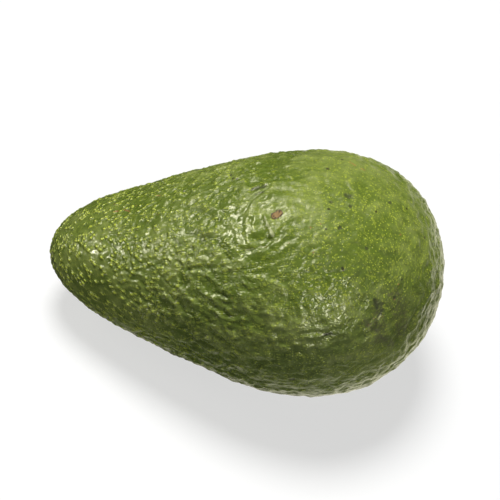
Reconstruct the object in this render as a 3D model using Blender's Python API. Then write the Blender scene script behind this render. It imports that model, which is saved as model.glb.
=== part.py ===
"""A whole avocado lying on its side, with the stub of its stalk in the hollow at the neck end.

Metres, +Z up. The origin is the middle of the flat spot that the fruit rests on, right below
its centre of mass. The neck points along -X and the broad blossom end along +X.

The fruit is modelled along its own axis first, from the neck tip at 0 to the blossom end at
LENGTH, and the whole is then tilted and set down on its flat spot.
"""

import math
import random

import bmesh
import bpy
import numpy as np
from mathutils import Matrix, Vector

MM = 0.001

# The plain form. A girth is the fruit's radius as a share of that of a sphere on the same
# axis. It swells from the neck's to the belly's between two stations, shares of the length.
LENGTH = 118.0 * MM
NECK_GIRTH = 0.42
BELLY_GIRTH = 0.777
SWELL_START = 0.142
SWELL_END = 1.112
BOW = 7.0 * MM  # how far the axis has curved up at the blossom end

# How it lies
TILT = math.radians(9.5)  # the neck hangs lower than the belly
SETTLE = 0.5 * MM  # depth of the flat spot, below which the skin is pressed flat

# Broad lumps, which make the form uneven
LUMP_WAVES = 5
LUMP_HEIGHT = 0.20 * MM
LUMP_LONGEST = 46.0 * MM  # wavelength of the first wave; each next one is shorter
LUMP_SHORTENING = 0.8

# The pebbled skin. Each cell of a net over the fruit is one pebble, larger than life.
CELLS_ALONG = 20
CELLS_ACROSS = 11
NET_JITTER = 0.24  # how far a knot of the net strays, as a share of a cell
PEBBLE_SLOPE = 0.30  # width of a pebble's sloping rim, as a share of the cell
PEBBLE_HEIGHT = 0.55 * MM
NET_SINK = 0.35 * MM  # how far the net between the pebbles lies inside the plain form
PEBBLE_SPREAD = 0.4  # how much pebbles differ in height
CALM_START = 0.45  # from this share of the length on, pebbles get lower
CALM_END = 0.90
CALM_SHARE = 0.5  # height left of a pebble at the blossom end

# The stalk's hollow and its stub
STEM_TURN = math.radians(12.0)  # the stalk joins this far off the neck's tip, on the +Y side
HOLLOW_RADIUS = 6.5 * MM
HOLLOW_DEPTH = 1.7 * MM
STUB_RADIUS = 3.3 * MM
STUB_HEIGHT = 3.4 * MM
STUB_SUNK = 1.5 * MM  # how much of the stub is below the hollow's floor
STUB_GAP = 0.3 * MM
STUB_SEGMENTS = 28
STUB_LOBES = 5
STUB_LOBE_DEPTH = 0.045  # share of the radius
CUTTER_RISE = 4.0 * MM  # how far the seat's cutter stands out of the fruit

SEED = 11

# Colours, roughness and metallic values
SKIN = ("avocado_skin", (0.115, 0.190, 0.030, 1.0), 0.42, 0.0)
STALK = ("stalk_cork", (0.190, 0.120, 0.055, 1.0), 0.80, 0.0)


def ease(share):
    """Goes smoothly from 0 to 1 as share does, and stays there beyond."""
    t = np.clip(share, 0.0, 1.0)
    return t * t * (3.0 - 2.0 * t)


def girth(station):
    """The girth at a distance from the neck's tip."""
    swell = ease((station / LENGTH - SWELL_START) / (SWELL_END - SWELL_START))
    return NECK_GIRTH + (BELLY_GIRTH - NECK_GIRTH) * swell


def plain_form(direction):
    """The point of the plain, smooth fruit that stands for a direction of a unit sphere."""
    x, y, z = direction
    half = LENGTH / 2.0
    station = half * (1.0 + x)
    spread = half * girth(station)
    return Vector((station, spread * y, spread * z + BOW * (station / LENGTH) ** 2))


def lumps(point):
    """Height of the broad lumps at a point: waves in directions that turn by the golden angle."""
    golden = math.pi * (3.0 - math.sqrt(5.0))
    height = 0.0
    for k in range(LUMP_WAVES):
        rise = 1.0 - (2.0 * k + 1.0) / LUMP_WAVES
        level = math.sqrt(1.0 - rise * rise)
        facing = Vector((level * math.cos(golden * k), level * math.sin(golden * k), rise))
        wavelength = LUMP_LONGEST * LUMP_SHORTENING**k
        height += math.sin(2.0 * math.pi * point.dot(facing) / wavelength + golden * k)
    return LUMP_HEIGHT * height / math.sqrt(LUMP_WAVES)


def stem_direction():
    """The direction of the unit sphere where the stalk joins the fruit."""
    return Vector((-math.cos(STEM_TURN), math.sin(STEM_TURN), 0.0))


def stem_place():
    """The stalk's foot on the plain form, and the way that the stalk points there."""
    here = plain_form(stem_direction())
    step = 0.02
    side = Vector((math.sin(STEM_TURN), math.cos(STEM_TURN), 0.0)) * step
    rise = Vector((0.0, 0.0, step))
    along = plain_form((stem_direction() + side).normalized()) - here
    across = plain_form((stem_direction() + rise).normalized()) - here
    outward = across.cross(along).normalized()
    if outward.x > 0.0:
        outward.negate()
    return here, outward


def resting_matrix():
    """Turns the fruit so that its neck hangs, and puts its lowest line into the flat spot."""
    turn = Matrix.Rotation(-TILT, 4, "Y")
    stations = np.linspace(0.3 * LENGTH, 0.9 * LENGTH, 601)
    reach = np.sqrt(stations * (LENGTH - stations)) * girth(stations)
    keel = BOW * (stations / LENGTH) ** 2 - reach
    points = [turn @ Vector((x, 0.0, z)) for x, z in zip(stations, keel)]
    lowest = min(points, key=lambda p: p.z)
    return Matrix.Translation((-lowest.x, 0.0, -lowest.z - SETTLE)) @ turn


def material(name, colour, roughness, metallic):
    """A plain Principled material."""
    made = bpy.data.materials.new(name)
    made.use_nodes = True
    shader = made.node_tree.nodes["Principled BSDF"]
    shader.inputs["Base Color"].default_value = colour
    shader.inputs["Roughness"].default_value = roughness
    shader.inputs["Metallic"].default_value = metallic
    return made


def add_object(name, bm, finish=None):
    """Puts a bmesh into the scene as a smooth object, with its own material if it has one."""
    mesh = bpy.data.meshes.new(name)
    bm.to_mesh(mesh)
    bm.free()
    mesh.shade_smooth()
    made = bpy.data.objects.new(name, mesh)
    bpy.context.scene.collection.objects.link(made)
    if finish:
        made.data.materials.append(finish)
    return made


def net_on_sphere():
    """A box's six grids, with cells of even angle, blown up to a unit sphere."""
    bm = bmesh.new()
    bmesh.ops.create_cube(bm, size=2.0)
    counts = (CELLS_ALONG, CELLS_ACROSS, CELLS_ACROSS)
    for axis, cells in enumerate(counts):
        parallel = [
            e for e in bm.edges if abs((e.verts[0].co - e.verts[1].co)[axis]) > 1e-6
        ]
        bmesh.ops.subdivide_edges(bm, edges=parallel, cuts=cells - 1, use_grid_fill=True)
    straying = random.Random(SEED)
    for v in bm.verts:
        for axis, cells in enumerate(counts):
            if abs(v.co[axis]) < 0.999:
                v.co[axis] += straying.uniform(-1.0, 1.0) * NET_JITTER * 2.0 / cells
        v.co = Vector(math.tan(c * math.pi / 4.0) for c in v.co).normalized()
    return bm


def pebble_height(station, chance):
    """Height of a pebble at a distance from the neck's tip, with chance from -1 to 1."""
    calming = float(ease((station / LENGTH - CALM_START) / (CALM_END - CALM_START)))
    share = 1.0 - (1.0 - CALM_SHARE) * calming
    return PEBBLE_HEIGHT * share * (1.0 + PEBBLE_SPREAD * chance)


def hollow_depth(distance):
    """Depth of the stalk's hollow at a distance from its middle."""
    return HOLLOW_DEPTH * (1.0 - float(ease(distance / HOLLOW_RADIUS)))


def build_fruit(placed):
    """The fruit's body: plain form, lumps, hollow and pebbles, pressed flat where it rests."""
    bm = net_on_sphere()
    for v in bm.verts:
        v.co = plain_form(v.co)
    bmesh.ops.recalc_face_normals(bm, faces=bm.faces)
    pebbles = list(bm.faces)
    bmesh.ops.inset_individual(
        bm, faces=pebbles, thickness=PEBBLE_SLOPE, use_relative_offset=True, use_even_offset=True
    )
    bm.normal_update()
    foot, _ = stem_place()
    chance = random.Random(SEED + 1)
    raised = {}
    for pebble in pebbles:
        middle = pebble.calc_center_median()
        if (middle - foot).length > HOLLOW_RADIUS:
            height = pebble_height(middle.x, chance.uniform(-1.0, 1.0))
            raised.update({v: height for v in pebble.verts})
    shifts = []
    for v in bm.verts:
        height = lumps(v.co) - NET_SINK - hollow_depth((v.co - foot).length)
        shifts.append(v.normal * (height + raised.get(v, 0.0)))
    for v, shift in zip(bm.verts, shifts):
        v.co += shift
    bmesh.ops.transform(bm, matrix=placed, verts=bm.verts)
    for v in bm.verts:
        v.co.z = max(v.co.z, 0.0)
    return add_object("fruit", bm, material(*SKIN))


def turned(profile, lobe_depth):
    """A solid turned about +Z from (radius, height) pairs, base first, with a lobed outline."""
    bm = bmesh.new()
    rings = []
    for radius, height in profile:
        ring = []
        for k in range(STUB_SEGMENTS):
            angle = 2.0 * math.pi * k / STUB_SEGMENTS
            lobed = radius * (1.0 + lobe_depth * math.cos(STUB_LOBES * angle))
            ring.append(bm.verts.new((lobed * math.cos(angle), lobed * math.sin(angle), height)))
        rings.append(ring)
    for lower, upper in zip(rings, rings[1:]):
        for k in range(STUB_SEGMENTS):
            n = (k + 1) % STUB_SEGMENTS
            bm.faces.new((lower[k], lower[n], upper[n], upper[k]))
    bm.faces.new(list(reversed(rings[0])))
    bm.faces.new(rings[-1])
    bmesh.ops.recalc_face_normals(bm, faces=bm.faces)
    return bm


def stem_matrix(placed):
    """Takes a piece turned about +Z to the hollow's floor, with +Z out of the fruit."""
    foot, outward = stem_place()
    floor = foot + outward * (lumps(foot) - NET_SINK - HOLLOW_DEPTH)
    return placed @ Matrix.Translation(floor) @ outward.to_track_quat("Z", "Y").to_matrix().to_4x4()


def cut_seat(fruit, placed):
    """Sinks the stub's seat into the hollow's floor, with the gap all round."""
    radius = STUB_RADIUS * (1.0 + STUB_LOBE_DEPTH) + STUB_GAP
    bottom = -(STUB_SUNK + STUB_GAP)
    cutter = add_object("seat_cutter", turned([(radius, bottom), (radius, CUTTER_RISE)], 0.0))
    cutter.matrix_world = stem_matrix(placed)
    cutter.hide_render = True
    cutter.display_type = "WIRE"
    cut = fruit.modifiers.new("stub_seat", "BOOLEAN")
    cut.operation = "DIFFERENCE"
    cut.object = cutter


def build_stub(placed):
    """The stub of the stalk: a corky knob with a flared, lobed rim and a dished, healed top."""
    top = STUB_HEIGHT - STUB_SUNK
    profile = [
        (STUB_RADIUS * 0.86, -STUB_SUNK),
        (STUB_RADIUS * 0.92, -STUB_SUNK * 0.3),
        (STUB_RADIUS * 0.84, top * 0.25),
        (STUB_RADIUS * 0.98, top * 0.62),
        (STUB_RADIUS, top * 0.82),
        (STUB_RADIUS * 0.90, top),
        (STUB_RADIUS * 0.66, top * 0.97),
        (STUB_RADIUS * 0.40, top * 0.80),
        (STUB_RADIUS * 0.18, top * 0.84),
    ]
    stub = add_object("stem_stub", turned(profile, STUB_LOBE_DEPTH), material(*STALK))
    stub.matrix_world = stem_matrix(placed)


def main():
    for old in list(bpy.data.objects):
        bpy.data.objects.remove(old, do_unlink=True)
    placed = resting_matrix()
    fruit = build_fruit(placed)
    cut_seat(fruit, placed)
    build_stub(placed)


main()
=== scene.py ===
"""The looks of a whole green avocado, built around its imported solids.

The fruit and the stub of its stalk are grown again, finer than their solids and in the same
place, and dressed with procedural materials. The form of the fruit is a formula: a direction of
a unit sphere is carried to a pear, which then gets its lumps, ripples and pebbles. Geometry
Nodes evaluate that formula over the whole skin, and this file evaluates it in Python where a
single place is needed. All sizes are in metres.
"""

from __future__ import annotations

import logging
import math
from dataclasses import dataclass, field
from enum import Enum
from typing import Any, Optional, Union

import bmesh
import bpy
import numpy as np
from mathutils import Matrix, Vector
from mathutils.bvhtree import BVHTree

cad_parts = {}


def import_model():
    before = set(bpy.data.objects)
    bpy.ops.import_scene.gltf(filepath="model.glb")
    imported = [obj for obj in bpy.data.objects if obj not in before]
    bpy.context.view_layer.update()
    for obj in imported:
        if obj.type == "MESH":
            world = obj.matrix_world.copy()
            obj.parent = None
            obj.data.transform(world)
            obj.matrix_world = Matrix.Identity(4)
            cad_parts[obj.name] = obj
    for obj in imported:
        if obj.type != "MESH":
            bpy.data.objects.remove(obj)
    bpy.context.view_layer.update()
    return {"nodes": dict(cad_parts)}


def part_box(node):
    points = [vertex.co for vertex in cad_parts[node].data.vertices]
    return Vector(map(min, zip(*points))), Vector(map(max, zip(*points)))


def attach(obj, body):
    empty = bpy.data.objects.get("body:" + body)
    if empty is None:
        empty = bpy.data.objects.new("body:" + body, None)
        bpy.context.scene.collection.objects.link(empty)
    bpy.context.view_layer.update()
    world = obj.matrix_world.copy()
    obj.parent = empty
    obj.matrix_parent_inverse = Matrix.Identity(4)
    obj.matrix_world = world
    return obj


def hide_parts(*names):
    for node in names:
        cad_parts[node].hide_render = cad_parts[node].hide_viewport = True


LOG = logging.getLogger("avocado")

MM = 0.001
BODY = "root"
PHOTO_PIXELS = 500.0
PLAIN_PLACE = "plain_place"  # attribute: where a point of the skin lies on the plain form
FROM_PEBBLE = "from_pebble"  # attribute: the way from its pebble's middle, in the grain's frame
PEBBLE_FACTS = "pebble_facts"  # attribute: how far that is, the pebble's chance, and the relief
GOLDEN_ANGLE = math.pi * (3.0 - math.sqrt(5.0))
TINY = 1e-12  # keeps the square of a length from being 0

Pixel = tuple[float, float]
Colour = tuple[float, float, float, float]
Span = tuple[float, float]
Triple = tuple[float, float, float]


def ease(share: float) -> float:
    """Goes smoothly from 0 to 1 as share does, and stays there beyond."""
    t = min(max(share, 0.0), 1.0)
    return t * t * (3.0 - 2.0 * t)


class Signal:
    """An output socket of a node, used as a value in Python expressions."""

    def __init__(self, graph: Graph, socket: Optional[bpy.types.NodeSocket]) -> None:
        """Wraps a socket of a graph, or none for a node without outputs."""
        self.graph = graph
        self.socket = socket

    def output(self, name: str) -> Signal:
        """Another output of the same node."""
        return Signal(self.graph, self.socket.node.outputs[name])

    def __add__(self, other: Value) -> Signal:
        """Adds two values."""
        return self.graph.math("ADD", self, other)

    def __radd__(self, other: Value) -> Signal:
        """Adds two values."""
        return self.graph.math("ADD", other, self)

    def __sub__(self, other: Value) -> Signal:
        """Subtracts a value."""
        return self.graph.math("SUBTRACT", self, other)

    def __rsub__(self, other: Value) -> Signal:
        """Subtracts from a value."""
        return self.graph.math("SUBTRACT", other, self)

    def __mul__(self, other: Value) -> Signal:
        """Multiplies two values."""
        return self.graph.math("MULTIPLY", self, other)

    def __rmul__(self, other: Value) -> Signal:
        """Multiplies two values."""
        return self.graph.math("MULTIPLY", other, self)

    def __truediv__(self, other: Value) -> Signal:
        """Divides by a value."""
        return self.graph.math("DIVIDE", self, other)

    def __rtruediv__(self, other: Value) -> Signal:
        """Divides a value by this one."""
        return self.graph.math("DIVIDE", other, self)


Value = Union[float, int, str, bool, tuple, bpy.types.ID, Signal]


class Graph:
    """A node tree under construction, of a material, a world or a geometry group."""

    def __init__(self, tree: bpy.types.NodeTree) -> None:
        """Wraps an existing node tree."""
        self.tree = tree

    def add(
        self,
        kind: str,
        settings: Optional[dict[str, Any]] = None,
        values: Optional[dict[Union[str, int], Value]] = None,
        output: Union[str, int] = 0,
    ) -> Signal:
        """Adds a node.

        Args:
            kind: The node's type.
            settings: Its properties, such as a Math node's operation, which are set first.
            values: What its input sockets hold or are linked to, by name or number.
            output: The output that is returned.

        Returns:
            The chosen output of the new node, which is empty for a tree's output node.
        """
        node = self.tree.nodes.new(kind)
        for name, setting in (settings or {}).items():
            setattr(node, name, setting)
        for key, value in (values or {}).items():
            socket = node.inputs[key]
            if isinstance(value, Signal):
                self.tree.links.new(value.socket, socket)
            else:
                socket.default_value = value
        return Signal(self, node.outputs[output] if node.outputs else None)

    def math(self, operation: str, *values: Value) -> Signal:
        """A Math node of that operation on up to three numbers."""
        return self.add("ShaderNodeMath", {"operation": operation}, dict(enumerate(values)))

    def vector(self, operation: str, *values: Value, output: Union[str, int] = 0) -> Signal:
        """A Vector Math node of that operation on up to three vectors."""
        settings = {"operation": operation}
        return self.add("ShaderNodeVectorMath", settings, dict(enumerate(values)), output)

    def measure(self, operation: str, *values: Value) -> Signal:
        """A Vector Math node of that operation, whose result is a number."""
        return self.vector(operation, *values, output="Value")

    def stretch(self, vector: Signal, scale: Triple) -> Signal:
        """A vector, each part of which is multiplied by its own factor."""
        return self.vector("MULTIPLY", vector, scale)

    def scaled(self, vector: Value, factor: Value) -> Signal:
        """A vector times a number."""
        settings = {"operation": "SCALE"}
        return self.add("ShaderNodeVectorMath", settings, {0: vector, "Scale": factor})

    def parts(self, vector: Signal) -> Signal:
        """The parts of a vector: the signal is X, and its outputs "Y" and "Z" are the others."""
        return self.add("ShaderNodeSeparateXYZ", {}, {0: vector})

    def join(self, x: Value, y: Value, z: Value) -> Signal:
        """A vector of three parts."""
        return self.add("ShaderNodeCombineXYZ", {}, {0: x, 1: y, 2: z})

    def attribute(self, name: str) -> Signal:
        """A vector attribute of the mesh, in a material."""
        return self.add("ShaderNodeAttribute", {"attribute_name": name}, {}, "Vector")

    def ramp(
        self, value: Value, start: Value, end: Value, low: Value = 0.0, high: Value = 1.0
    ) -> Signal:
        """Goes smoothly from one value to another.

        Args:
            value: What it follows.
            start: Where value leaves low.
            end: Where value reaches high.
            low: The result up to start.
            high: The result from end on.

        Returns:
            The result.
        """
        return self.add(
            "ShaderNodeMapRange",
            {"interpolation_type": "SMOOTHSTEP"},
            {"Value": value, "From Min": start, "From Max": end, "To Min": low, "To Max": high},
        )

    def fade(self, value: Value, start: Value, end: Value) -> Signal:
        """Goes smoothly from 1 to 0 as value goes from start to end."""
        return self.ramp(value, start, end, 1.0, 0.0)

    def crossing(self, noise: Signal, width: float) -> Signal:
        """Is 1 where a noise is at its middle value, and fades out at that width off it."""
        return self.fade(self.math("ABSOLUTE", noise - 0.5), 0.0, width)

    def blend(self, share: Value, first: Value, second: Value) -> Signal:
        """Mixes two colours."""
        values = {0: share, 6: first, 7: second}
        return self.add("ShaderNodeMix", {"data_type": "RGBA"}, values, 2)

    def noise(self, place: Signal, size: float, detail: float = 2.0, rough: float = 0.5) -> Signal:
        """Fractal noise with waves of a size; its "Color" output is three noises in one."""
        values = {"Vector": place, "Scale": 1.0 / size, "Detail": detail, "Roughness": rough}
        return self.add("ShaderNodeTexNoise", {}, values)

    def cells(self, place: Signal, size: float) -> Signal:
        """Distance to the nearest of points strewn about that far apart, in those sizes."""
        values = {"Vector": place, "Scale": 1.0 / size}
        return self.add("ShaderNodeTexVoronoi", {"feature": "F1"}, values)

    def bump(self, height: Signal) -> Signal:
        """The normals of a surface with a height in metres on it."""
        values = {"Strength": 1.0, "Distance": 1.0, "Height": height}
        return self.add("ShaderNodeBump", {}, values)

    def surface(self, values: dict[Union[str, int], Value]) -> None:
        """Ends a material with a Principled shader of those inputs."""
        shader = self.add("ShaderNodeBsdfPrincipled", {}, values)
        self.add("ShaderNodeOutputMaterial", {}, {"Surface": shader})


@dataclass(frozen=True)
class Trend:
    """A strength along the fruit: on the neck, and what the belly and the broad end add."""

    neck: float
    belly: float = 0.0
    broad: float = 0.0

    def at(self, bulk: Signal, calm: Signal) -> Value:
        """The strength at each place.

        Args:
            bulk: How much the belly counts there.
            calm: How much the broad end counts there.

        Returns:
            The sum of the three, which is a plain number where neither counts.
        """
        total: Value = self.neck
        if self.belly:
            total = total + bulk * self.belly
        if self.broad:
            total = total + calm * self.broad
        return total


@dataclass(frozen=True)
class PearForm:
    """The fruit's plain form along its own axis, and how it lies; the same as the solid's."""

    length: float = 118.0 * MM
    neck_girth: float = 0.42
    belly_girth: float = 0.777
    swell_start: float = 0.142
    swell_end: float = 1.112
    bow: float = 7.0 * MM
    tilt: float = math.radians(9.5)
    settle: float = 0.5 * MM
    sink: float = 0.10 * MM
    lump_waves: int = 5
    lump_height: float = 0.20 * MM
    lump_longest: float = 46.0 * MM
    lump_shortening: float = 0.8
    stem_turn: float = math.radians(12.0)
    hollow_radius: float = 6.5 * MM
    hollow_depth: float = 1.9 * MM
    keel_steps: int = 600  # places that are tried for the lowest, over this part of the length
    keel_part: Span = (0.3, 0.9)

    def girth(self, station: float) -> float:
        """The fruit's radius at a station as a share of that of a sphere on its axis."""
        share = (station / self.length - self.swell_start) / (self.swell_end - self.swell_start)
        return self.neck_girth + (self.belly_girth - self.neck_girth) * ease(share)

    def place(self, direction: Vector) -> Vector:
        """The point of the plain form that stands for a direction of a unit sphere.

        Args:
            direction: The direction, of length 1.

        Returns:
            The point, along the fruit's own axis.
        """
        half = self.length / 2.0
        station = half * (1.0 + direction.x)
        spread = half * self.girth(station)
        rise = self.bow * (station / self.length) ** 2
        return Vector((station, spread * direction.y, spread * direction.z + rise))

    def waves(self) -> list[tuple[Vector, float]]:
        """Each broad wave of the form: its wave vector, in radians a metre, and its phase."""
        found = []
        for k in range(self.lump_waves):
            rise = 1.0 - (2.0 * k + 1.0) / self.lump_waves
            level = math.sqrt(1.0 - rise * rise)
            turn = GOLDEN_ANGLE * k
            facing = Vector((level * math.cos(turn), level * math.sin(turn), rise))
            wavelength = self.lump_longest * self.lump_shortening**k
            found.append((facing * (2.0 * math.pi / wavelength), turn))
        return found

    def lumps(self, point: Vector) -> float:
        """Height of the broad lumps at a point."""
        total = sum(math.sin(point.dot(wave) + phase) for wave, phase in self.waves())
        return self.lump_height * total / math.sqrt(self.lump_waves)

    def stem_direction(self) -> Vector:
        """The direction of the unit sphere where the stalk joins the fruit."""
        return Vector((-math.cos(self.stem_turn), math.sin(self.stem_turn), 0.0))

    def stem_place(self) -> tuple[Vector, Vector]:
        """The stalk's foot on the plain form, and the way that the stalk points there."""
        here = self.place(self.stem_direction())
        step = 0.02
        side = Vector((math.sin(self.stem_turn), math.cos(self.stem_turn), 0.0)) * step
        rise = Vector((0.0, 0.0, step))
        along = self.place((self.stem_direction() + side).normalized()) - here
        across = self.place((self.stem_direction() + rise).normalized()) - here
        outward = across.cross(along).normalized()
        return here, outward if outward.x < 0.0 else -outward

    def resting_matrix(self) -> Matrix:
        """Turns the fruit so that its neck hangs, and puts its lowest line into the flat spot."""
        turn = Matrix.Rotation(-self.tilt, 4, "Y")
        lowest = Vector((0.0, 0.0, self.length))
        first, last = self.keel_part
        for k in range(self.keel_steps + 1):
            station = self.length * (first + (last - first) * k / self.keel_steps)
            reach = math.sqrt(station * (self.length - station)) * self.girth(station)
            keel = self.bow * (station / self.length) ** 2 - reach
            point = turn @ Vector((station, 0.0, keel))
            if point.z < lowest.z:
                lowest = point
        return Matrix.Translation((-lowest.x, 0.0, -lowest.z - self.settle)) @ turn


@dataclass(frozen=True)
class PhotoView:
    """The camera: a long lens that looks down on the fruit from its front right."""

    azimuth: float = math.radians(17.3)
    elevation: float = math.radians(50.0)
    distance: float = 395.8 * MM
    aim: Triple = (-6.9 * MM, 4.2 * MM, 34.0 * MM)
    lens: float = 100.0
    sensor: float = 36.0

    def axes(self) -> tuple[Vector, Vector, Vector]:
        """The camera's right, up and back directions."""
        a, e = self.azimuth, self.elevation
        back = Vector((math.sin(a) * math.cos(e), -math.cos(a) * math.cos(e), math.sin(e)))
        right = Vector((math.cos(a), math.sin(a), 0.0))
        return right, back.cross(right), back

    def eye(self) -> Vector:
        """Where the camera stands."""
        return Vector(self.aim) + self.axes()[2] * self.distance

    def ray(self, pixel: Pixel) -> Vector:
        """The direction from the eye through a pixel of the photograph.

        Args:
            pixel: Its column and row.

        Returns:
            The direction, of length 1.
        """
        right, up, back = self.axes()
        focal = self.lens / self.sensor * PHOTO_PIXELS
        half = PHOTO_PIXELS / 2.0
        across, rise = (pixel[0] - half) / focal, (half - pixel[1]) / focal
        return (right * across + up * rise - back).normalized()

    def find(self, piece: bpy.types.Object, pixels: list[Pixel]) -> list[Vector]:
        """Finds where pixels of the photograph fall on a piece that stands at the origin.

        Args:
            piece: The piece.
            pixels: The pixels, each as its column and row.

        Returns:
            The place of each pixel.
        """
        corners = [v.co for v in piece.data.vertices]
        tree = BVHTree.FromPolygons(corners, [p.vertices for p in piece.data.polygons])
        places = []
        for pixel in pixels:
            place, _, _, _ = tree.ray_cast(self.eye(), self.ray(pixel))
            if place is None:
                raise ValueError(f"pixel {pixel} isn't on {piece.name}")
            places.append(place)
        return places

    def set_up(self) -> bpy.types.Object:
        """Makes the scene's camera."""
        data = bpy.data.cameras.new("photo_camera")
        data.lens = self.lens
        data.sensor_width = self.sensor
        data.clip_start = 0.01
        camera = bpy.data.objects.new("photo_camera", data)
        right, up, back = self.axes()
        camera.matrix_world = Matrix.Translation(self.eye()) @ Matrix(
            (right, up, back)
        ).transposed().to_4x4()
        bpy.context.scene.collection.objects.link(camera)
        bpy.context.scene.camera = camera
        return camera


class MarkKind(Enum):
    """What a mark on the skin is made of."""

    DARK = "dark spot"
    RED = "reddish speck"
    # pale scratches, and painted gloss along the whorl's ridges
    PALE_SCAR_AND_GLOSS = "pale scar"
    BRUISE = "brownish bruise"
    SMUDGE = "dark olive smudge"
    # painted shade: darker deep green patches
    SHADE = "deep green patch"


@dataclass(frozen=True)
class Mark:
    """A mark on the skin, round or along a line, placed by pixels of the photograph."""

    kind: MarkKind
    start: Pixel
    radius: float
    end: Optional[Pixel] = None


@dataclass(frozen=True)
class Fold:
    """A ridge of the skin, or with a negative height a groove, along a line of pixels."""

    line: tuple[Pixel, ...]
    width: float
    height: float


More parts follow.
